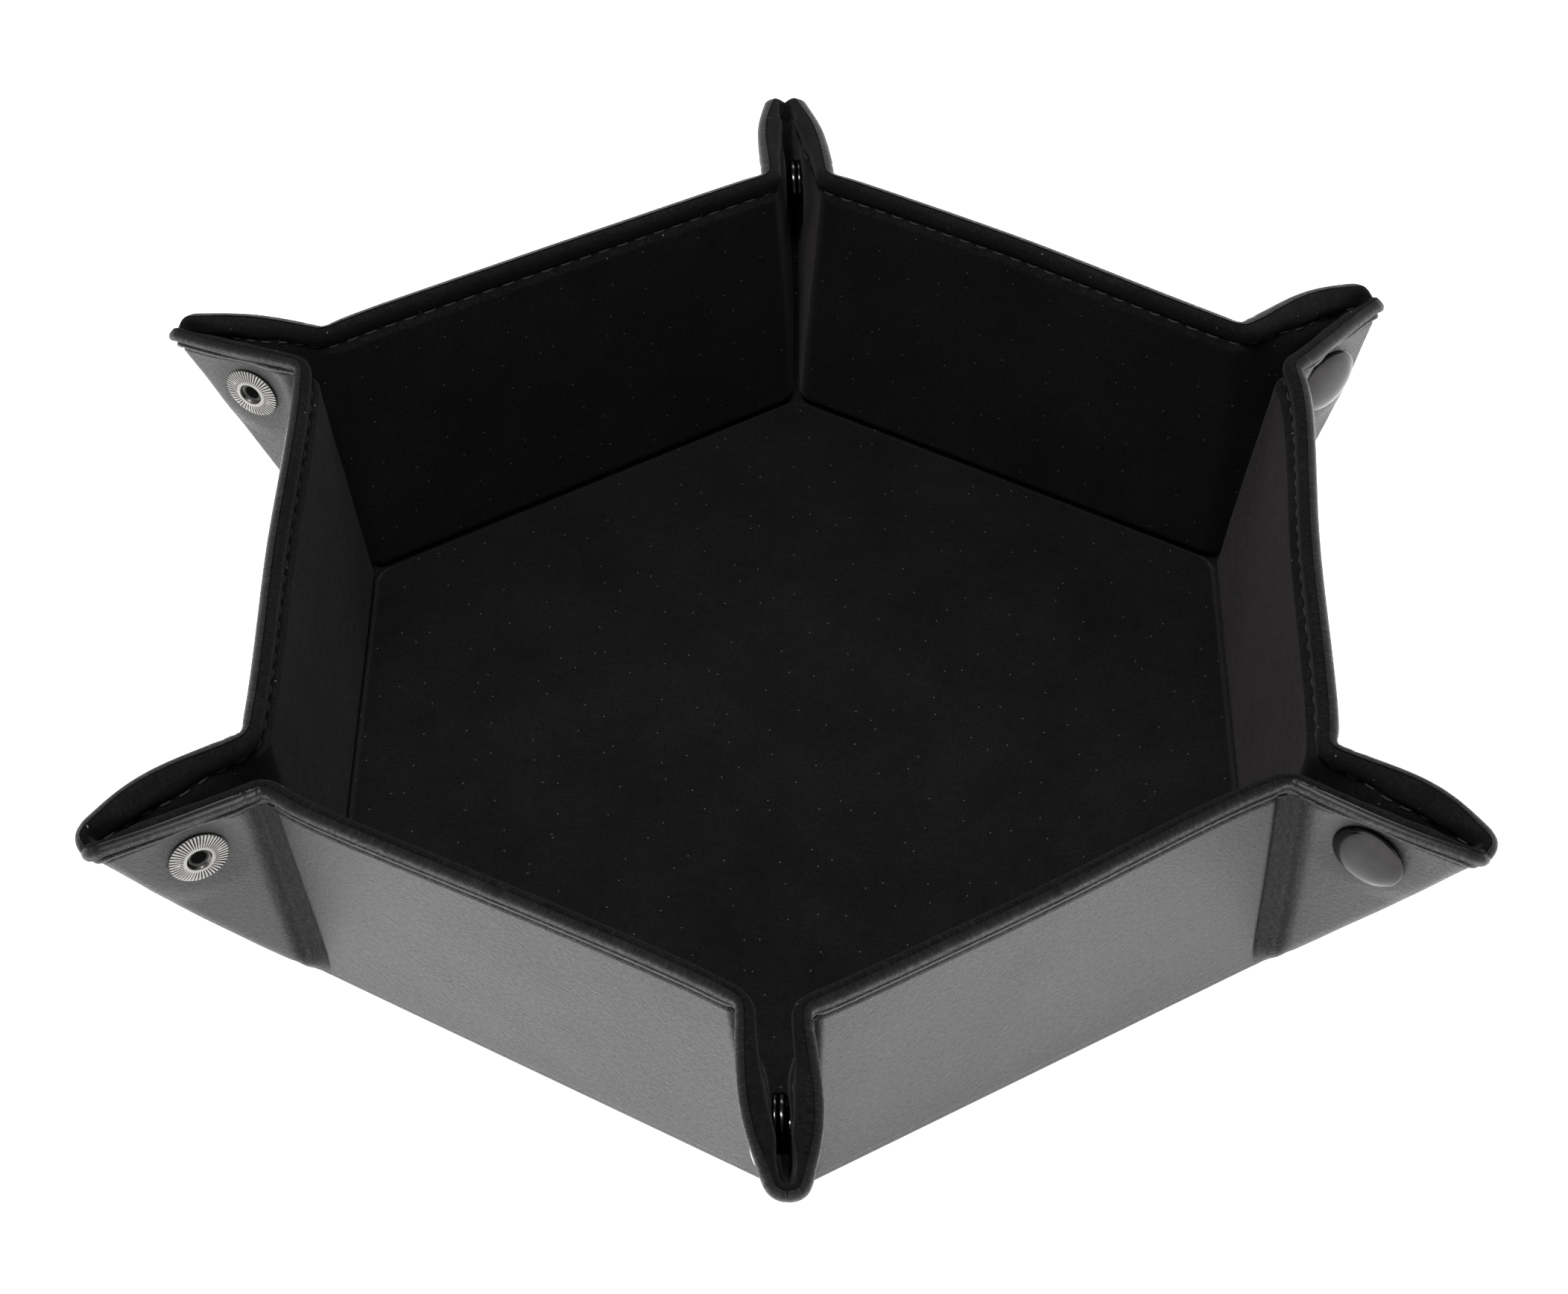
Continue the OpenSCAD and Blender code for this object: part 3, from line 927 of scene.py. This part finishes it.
def metal_material(name, colour, low, high, scratch, hollow=False):
    """A plated metal with fine scratches, its roughness between low and high, with painted shade: black in a hole
    and darker in the grooves between the post's ribs.
    """
    material, tree = new_material(name, Metallic=1.0)
    place = node(tree, "ShaderNodeTexCoord").outputs["Object"]
    cloud = noise(tree, place, 260.0, 4.0, 0.6)
    fine = noise(tree, place, 3800.0, 3.0, 0.6)
    dark = tuple(0.82 * c for c in colour)
    tone = ramp(tree, cloud, (0.35, dark), (0.65, colour))
    # Painted shade: the shade factor darkens a post's hole to black and the grooves between its ribs
    shade_factor = attribute(tree, "shade_factor", "Fac")
    # Painted shade: in a post's hole the metal turns to a black with no shine
    if hollow:
        metal = ramp(tree, shade_factor, (0.02, 0.0), (0.2, 1.0))
        wired(material, Metallic=metal, Specular_IOR_Level=ramp(tree, shade_factor, (0.02, 0.0), (0.3, 0.5)))
    tone = times(tree, tone, shade_factor)
    rough = ramp(tree, fine, (0.3, low), (0.7, high))
    return wired(material, Base_Color=tone, Roughness=rough, Normal=bump(tree, fine, scratch, 0.00003))


def board_material():
    material, tree = new_material("greyboard", Specular_IOR_Level=0.25)
    place = node(tree, "ShaderNodeTexCoord").outputs["Object"]
    fibres = noise(tree, place, 900.0, 6.0, 0.7)
    flecks = noise(tree, place, 2600.0, 2.0, 0.6)
    tone = ramp(tree, fibres, (0.35, (0.33, 0.30, 0.26)), (0.65, (0.46, 0.42, 0.37)))
    rough = ramp(tree, flecks, (0.3, 0.78), (0.7, 0.95))
    return wired(material, Base_Color=tone, Roughness=rough, Normal=bump(tree, fibres, 0.5, 0.0001))


def thread_material():
    material, tree = new_material("thread_black", Specular_IOR_Level=0.4)
    place = attribute(tree, "thread_place")
    twist = node(tree, "ShaderNodeTexWave", {"Vector": place, "Scale": 1.0, "Distortion": 0.6},
                 bands_direction="DIAGONAL").outputs["Fac"]
    tone = ramp(tree, twist, (0.2, (0.005, 0.005, 0.0055)), (0.8, (0.018, 0.018, 0.019)))
    rough = ramp(tree, twist, (0.2, 0.62), (0.8, 0.48))
    return wired(material, Base_Color=tone, Roughness=rough, Normal=bump(tree, twist, 0.6, 0.00012))


def coat(piece, material):
    piece.data.materials.clear()
    piece.data.materials.append(material)


def dressed(piece, material):
    """The piece in its material."""
    coat(piece, material)
    return piece


# ---- Snaps ----
PAD_OUT = PAD_GAP + LEATHER_T
SNAP_STEPS = 384
RIBS = 48
# The post's ribs: inner radius, outer radius and depth, in mm
POST_RIBS = (3.3, 5.95, 0.26)
# Outlines as (radius, height over the leather's face), in mm
CAP_PROFILE = [(0, 1.5), (1.6, 1.5), (1.6, -3.65), (2.2, -3.65), (2.2, 0.05), (6.9, 0.05),
               (7.2, 0.08), (7.42, 0.2), (7.5, 0.42), (7.48, 0.68), (7.34, 0.92), (7.08, 1.1),
               (6.86, 1.16), (6.7, 1.24), (6.3, 1.42), (5.4, 1.68), (4.2, 1.88), (2.8, 2.02),
               (1.4, 2.08), (0, 2.1)]
POST_PROFILE = [(1.6, -4.05), (2.2, -4.05), (2.2, 0.05), (5.7, 0.05), (6.0, 0.1), (6.1, 0.24),
                (6.06, 0.4), (5.9, 0.5), (5.5, 0.56), (5.0, 0.62), (4.5, 0.68), (4.0, 0.74),
                (3.5, 0.82), (3.2, 0.9), (3.0, 0.98), (2.85, 1.02), (2.7, 1.0), (2.56, 0.9),
                (2.44, 0.7), (2.28, 0.42), (2.14, 0.25), (1.95, 0.18), (1.5, 0.16), (0.8, 0.15),
                (0, 0.15), (0, -0.4), (1.6, -0.4)]
SOCKET_PROFILE = [(2.25, -2.3), (5.2, -2.3), (5.55, -2.42), (5.7, -2.75), (5.62, -3.2), (5.46, -3.4),
                  (5.62, -3.6), (5.7, -4.0), (5.66, -4.5), (5.5, -4.85), (5.2, -5.0), (4.7, -5.05),
                  (3.8, -5.03), (3.5, -4.95), (3.36, -4.75), (3.35, -2.82), (2.25, -2.8)]
STUD_PROFILE = [(2.25, -2.3), (5.2, -2.3), (5.42, -2.4), (5.5, -2.55), (5.4, -2.72), (5.1, -2.8),
                (3.4, -2.8), (2.9, -2.9), (2.75, -3.2), (2.8, -3.5), (3.0, -3.85), (3.0, -4.1),
                (2.9, -4.3), (2.65, -4.42), (2.25, -4.45)]


def rigid_in_ear(points, centre):
    """Points of a stiff piece, moved and turned as the tray's settling moves what is round its centre."""
    step = 5 * MM
    around = settled(centre + step * np.concatenate([np.eye(3), -np.eye(3)]))
    stretch = (around[:3] - around[3:]) / (2 * step)
    left, _, right = np.linalg.svd(stretch)
    return settled(centre[None])[0] + (points - centre) @ (left @ right)


def snap_piece(name, profile, k, side, ribs=None):
    """A turned metal piece of corner k."""
    angle = np.arange(SNAP_STEPS + 1) * 2 * math.pi / SNAP_STEPS
    path = np.array(profile + profile[:1]) * MM
    radius, height = path[:, :1] + 0 * angle, path[:, 1:] + 0 * angle
    shade_factor = 1.0 + 0 * radius
    if ribs:
        low, high, depth = (x * MM for x in ribs)
        on = smooth((radius - low) / (0.3 * MM)) * smooth((high + 0.3 * MM - radius) / (0.3 * MM))
        on = on * (height > 0.2 * MM)
        cut = (0.5 - 0.5 * np.cos(RIBS * angle)) ** 4
        height = height - on * depth * cut
        # Painted shade: near black in the post's hole and darker in the grooves between the ribs
        hole = 0.02 + 0.98 * rising(radius, 1.8, 0.8)
        shade_factor = hole * (1 - 0.6 * on * cut)
    out = SNAP_R + radius * np.cos(angle)
    up = SNAP_Z + radius * np.sin(angle)
    points = spin(np.stack([out, -side * (PAD_OUT + height), up], -1), k + 0.5, 1)
    centre = spin(np.array([SNAP_R, -side * PAD_OUT, SNAP_Z]), k + 0.5, 1)
    points = rigid_in_ear(points, centre)
    quads = quads_of(np.arange(radius.size).reshape(radius.shape)).reshape(-1, 4)
    mesh = new_mesh(name, points, quads.tolist())
    mark_points(mesh, "shade_factor", shade_factor)
    piece = finished(mesh, name, 40)
    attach(piece, f"ear_{k}_{side_name(side)}_side")
    return piece


# ---- Stitches ----
STITCH = 3.0 * MM
PITCH = 4.4 * MM
THREAD_R = 0.25 * MM


def column_of(s, along):
    panel = 1 + (along + SEAM) / (hinge_t(s) - SEAM)
    strip = 2 + along / SEAM
    ear = 2 + along / (ear_run(s) + keel_gap(s))
    return np.where(along < -SEAM, panel, np.where(along < 0, strip, ear))


def stitch_mesh(name, starts, ends, outwards):
    """One mesh of many short lengths of thread, each from a start to an end, bowed outwards."""
    rings, around = 9, 8
    t = np.linspace(-1, 1, rings)
    bow = 1 - t**2
    thick = np.sqrt(np.clip(1 - abs(t) ** 5, 0.02, 1))
    run = ends - starts
    length = np.linalg.norm(run, axis=1, keepdims=True)
    run = run / length
    sideways = unit(np.cross(run, outwards))
    up = np.cross(sideways, run)
    middle = (starts + ends) / 2
    angle = np.arange(around) * 2 * math.pi / around
    centre = (middle[:, None] + run[:, None] * (t[None, :, None] * length[:, None] / 2)
              + up[:, None] * (bow[None, :, None] - 0.7) * 0.36 * MM)
    spoke = (sideways[:, None] * np.cos(angle)[None, :, None]
             + up[:, None] * np.sin(angle)[None, :, None])
    points = centre[:, :, None] + spoke[:, None] * (thick * THREAD_R)[None, :, None, None]
    count = len(starts)
    index = np.arange(count * rings * around).reshape(count, rings, around)
    quads = quads_of(ringed(index)).reshape(-1, 4)
    caps = np.concatenate([index[:, 0, ::-1], index[:, -1]]).tolist()
    mesh = new_mesh(name, points, quads.tolist() + caps)
    place = np.zeros((count, rings, around, 3))
    place[..., 0] = (t * STITCH / 2 / (0.55 * MM))[None, :, None]
    place[..., 1] = (angle / (2 * math.pi) * 4)[None, None, :]
    mark_points(mesh, "thread_place", place)
    return finished(mesh, name, 80)


def on_seam(s, alongs):
    """Places and normals on the face between the sheets, along the seam and round its corner."""
    column = column_of(s, alongs)
    return sheet_frame(s - corner_cut(column), column)


def seam_height(inside, s, alongs):
    """Height of the thread's middle on one face, over the face between the two sheets."""
    spread = flat_place(s + 0 * alongs, column_of(s, alongs))
    drop = WALL_H - s + 0 * alongs
    if inside:
        return VELVET_T + velvet_relief(s, alongs, drop, spread) + 0.06 * MM
    return -(LEATHER_T + leather_relief(s, alongs, drop, spread) + 0.1 * MM)


def stitch_ends(s, alongs, inside):
    """Starts, ends and outward directions of stitches centred at the given places."""
    starts, _ = on_seam(s, alongs - STITCH / 2)
    ends, _ = on_seam(s, alongs + STITCH / 2)
    _, directions = on_seam(s, alongs)
    height = seam_height(inside, s, alongs)[:, None]
    return starts + directions * height, ends + directions * height, directions * np.sign(height)


def wall_stitches(k, s, alongs, inside):
    """A wall's stitches, with those of its mirrored half."""
    after, before = wall_bulges(k)
    starts, ends, out = stitch_ends(s, alongs, inside)
    halves = []
    for bulge, side in ((after, 1), (before, -1)):
        near, far = (settled(spin(opened(v, bulge), k, side)) for v in (starts, ends))
        halves.append((near, far, spin(out, k, side)))
    return [np.concatenate(pair) for pair in zip(*halves)]


def stitches(kind, k, side):
    """The thread on one face: side 0 is a wall's, and 1 or -1 an ear layer's."""
    s, inside = WALL_H - SEAM_DROP, kind == "inside"
    reach = float(hinge_t(s))
    count = int((reach - 2.2 * MM) / PITCH)
    if side == 0:
        alongs = -reach + PITCH * (np.arange(count) + 0.5)
        piece = stitch_mesh(f"thread_{kind}_wall_{k}", *wall_stitches(k, s, alongs, inside))
        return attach(piece, f"wall_{k}")
    first = -reach + PITCH * (count + 0.5)
    last = float(ear_run(s)) - 3.5 * MM
    starts, ends, out = stitch_ends(s, np.arange(first, last, PITCH), inside)
    starts, ends = in_ear(starts, k, side), in_ear(ends, k, side)
    out = spin(out, beside(k, side), side)
    piece = stitch_mesh(f"thread_{kind}_ear_{k}_{side_name(side)}", starts, ends, out)
    blend_ear(piece)
    return piece


# ---- Everything together ----
LEATHER = leather_material()
VELVET = velvet_material()
GUNMETAL = metal_material("gunmetal_plate", (0.037, 0.0358, 0.0352), 0.13, 0.21, 0.12)
NICKEL = metal_material("nickel_plate", (0.27, 0.264, 0.254), 0.2, 0.3, 0.1, hollow=True)
BOARD = board_material()
THREAD = thread_material()


def build_base():
    piece = base_piece("leather_base", plain_height(0.0), plain_height(LEATHER_T - HAIR))
    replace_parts(dressed(piece, LEATHER), "base_skin")
    piece = base_piece("velvet_base", base_velvet_bottom, base_velvet_top)
    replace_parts(dressed(piece, VELVET), "base_lining", "base_lining_edge")


# A sheet's name, its material, its thickness on the velvet's side, and its part of a wall
SHEETS = (("leather", LEATHER, 0.0, "skin"), ("velvet", VELVET, VELVET_T, "lining"))


def build_wall(k, grids):
    fold = spin(wall_fold, k, 1)
    inwards = spin(np.array([-WALL_BEND, 0.0, 0.0]), k, 1)
    slope = np.array([math.cos(WALL_UP), 0.0, math.sin(WALL_UP)]) * WALL_BEND
    ends = (fold + inwards, fold + spin(slope, k, 1))
    for kind, look, thickness, part in SHEETS:
        piece = wall_piece(f"{kind}_wall_{k}", grids[kind], k, thickness, *ends)
        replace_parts(dressed(piece, look), f"wall_{k}_{part}")


def build_ear(k, side, grids):
    name = side_name(side)
    for kind, look, _, _ in SHEETS:
        piece = dressed(ear_piece(f"{kind}_ear_{k}_{name}", grids[kind], k, side), look)
        if kind == "leather":
            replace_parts(piece, f"ear_{k}_{name}_side")


def build_snap(k):
    pieces = (("cap", CAP_PROFILE, 1, None, GUNMETAL, "gunmetal"),
              ("socket", SOCKET_PROFILE, 1, None, GUNMETAL, "gunmetal"),
              ("stud", STUD_PROFILE, -1, None, GUNMETAL, "gunmetal"),
              ("post", POST_PROFILE, -1, POST_RIBS, NICKEL, "nickel"))
    for kind, profile, side, ribbed, look, slot in pieces:
        piece = snap_piece(f"{kind}_{k}", profile, k, side, ribbed)
        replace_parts(dressed(piece, look), f"snap_{k}_{kind}")


def build_thread(k):
    for kind, slot in (("outside", "leather"), ("inside", "velvet")):
        for side in (0, 1, -1):
            dressed(stitches(kind, k, side), THREAD)


def build_board(k, grids):
    """A wall's board, following its leather and velvet in the made tray."""
    board = wall_shell(f"board_{k}", grids, k, BOARD_MASK, 0.0)
    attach(board, f"wall_{k}")
    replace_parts(dressed(board, BOARD), f"wall_{k}_board")


# ---- The setting ----
FLOOR_HALF = 4.0
WORLD_STRENGTH = 0.3
# name, place, aim, size, power
LIGHTS = (
    ("key_softbox", (-0.1, -0.2, 1.2), (0, 0, 0), (0.4, 0.2), 14.0),
    ("left_panel", (-0.95, -1.35, 0.4), (0, 0, 0.03), (1.0, 0.6), 2.5),
    ("right_panel", (0.95, -1.35, 0.4), (0, 0, 0.03), (1.0, 0.6), 2.5),
    ("back_softbox", (0.1, 0.9, 0.9), (0, 0, 0.03), (0.7, 0.3), 5.0),
)
CAMERA_PLACE = (0.01785, -0.51270, 0.58758)
CAMERA_YAW = -0.03676
CAMERA_PITCH = 0.82278
CAMERA_ROLL = -0.03957
CAMERA_LENS = 83.91


def make_camera():
    data = bpy.data.cameras.new("camera")
    data.lens = CAMERA_LENS
    camera = in_scene("camera", data)
    sy, cy = math.sin(CAMERA_YAW), math.cos(CAMERA_YAW)
    sp, cp = math.sin(CAMERA_PITCH), math.cos(CAMERA_PITCH)
    forward = np.array([sy * cp, cy * cp, -sp])
    right = np.array([cy, -sy, 0.0])
    up = np.cross(right, forward)
    sr, cr = math.sin(CAMERA_ROLL), math.cos(CAMERA_ROLL)
    across, rise = cr * right + sr * up, -sr * right + cr * up
    turn = Matrix(np.stack([across, rise, -forward], 1).tolist()).to_4x4()
    camera.matrix_world = Matrix.Translation(CAMERA_PLACE) @ turn
    bpy.context.scene.camera = camera


def make_light(name, place, aim, size, power):
    data = bpy.data.lights.new(name, "AREA")
    data.shape = "RECTANGLE"
    data.size, data.size_y = size
    data.energy = power
    light = in_scene(name, data)
    light.location = place
    light.rotation_mode = "QUATERNION"
    light.rotation_quaternion = (Vector(aim) - Vector(place)).to_track_quat("-Z", "Y")


def make_floor():
    """A plain pale floor, a little self-lit, which the leather mirrors."""
    corners = [(x * FLOOR_HALF, y * FLOOR_HALF, 0) for x, y in ((-1, -1), (1, -1), (1, 1), (-1, 1))]
    mesh = new_mesh("floor", corners, [(0, 1, 2, 3)])
    floor = in_scene("floor", mesh)
    floor.location.z = -0.2 * MM
    material, tree = new_material("floor_white", Roughness=0.85, Emission_Strength=1.2)
    place = node(tree, "ShaderNodeTexCoord").outputs["Object"]
    tone = ramp(tree, noise(tree, place, 3.0, 2.0), (0.3, (0.86, 0.86, 0.86)), (0.7, (0.9, 0.9, 0.9)))
    mesh.materials.append(wired(material, Base_Color=tone))


def make_world():
    world = bpy.data.worlds.new("studio")
    world.use_nodes = True
    background = world.node_tree.nodes["Background"]
    background.inputs["Color"].default_value = (1.0, 1.0, 1.0, 1.0)
    background.inputs["Strength"].default_value = WORLD_STRENGTH
    bpy.context.scene.world = world
    bpy.context.scene.view_settings.view_transform = "Standard"


def main():
    grids = {"leather": leather_grids(), "velvet": velvet_grids()}
    boards = board_grids()
    build_base()
    for k in range(1, WALLS + 1):
        build_wall(k, grids)
        for side in (1, -1):
            build_ear(k, side, grids)
        build_snap(k)
        build_thread(k)
        build_board(k, boards)
    coat(frame["nodes"]["base_board"], BOARD)
    make_camera()
    make_floor()
    make_world()
    for light in LIGHTS:
        make_light(*light)


main()
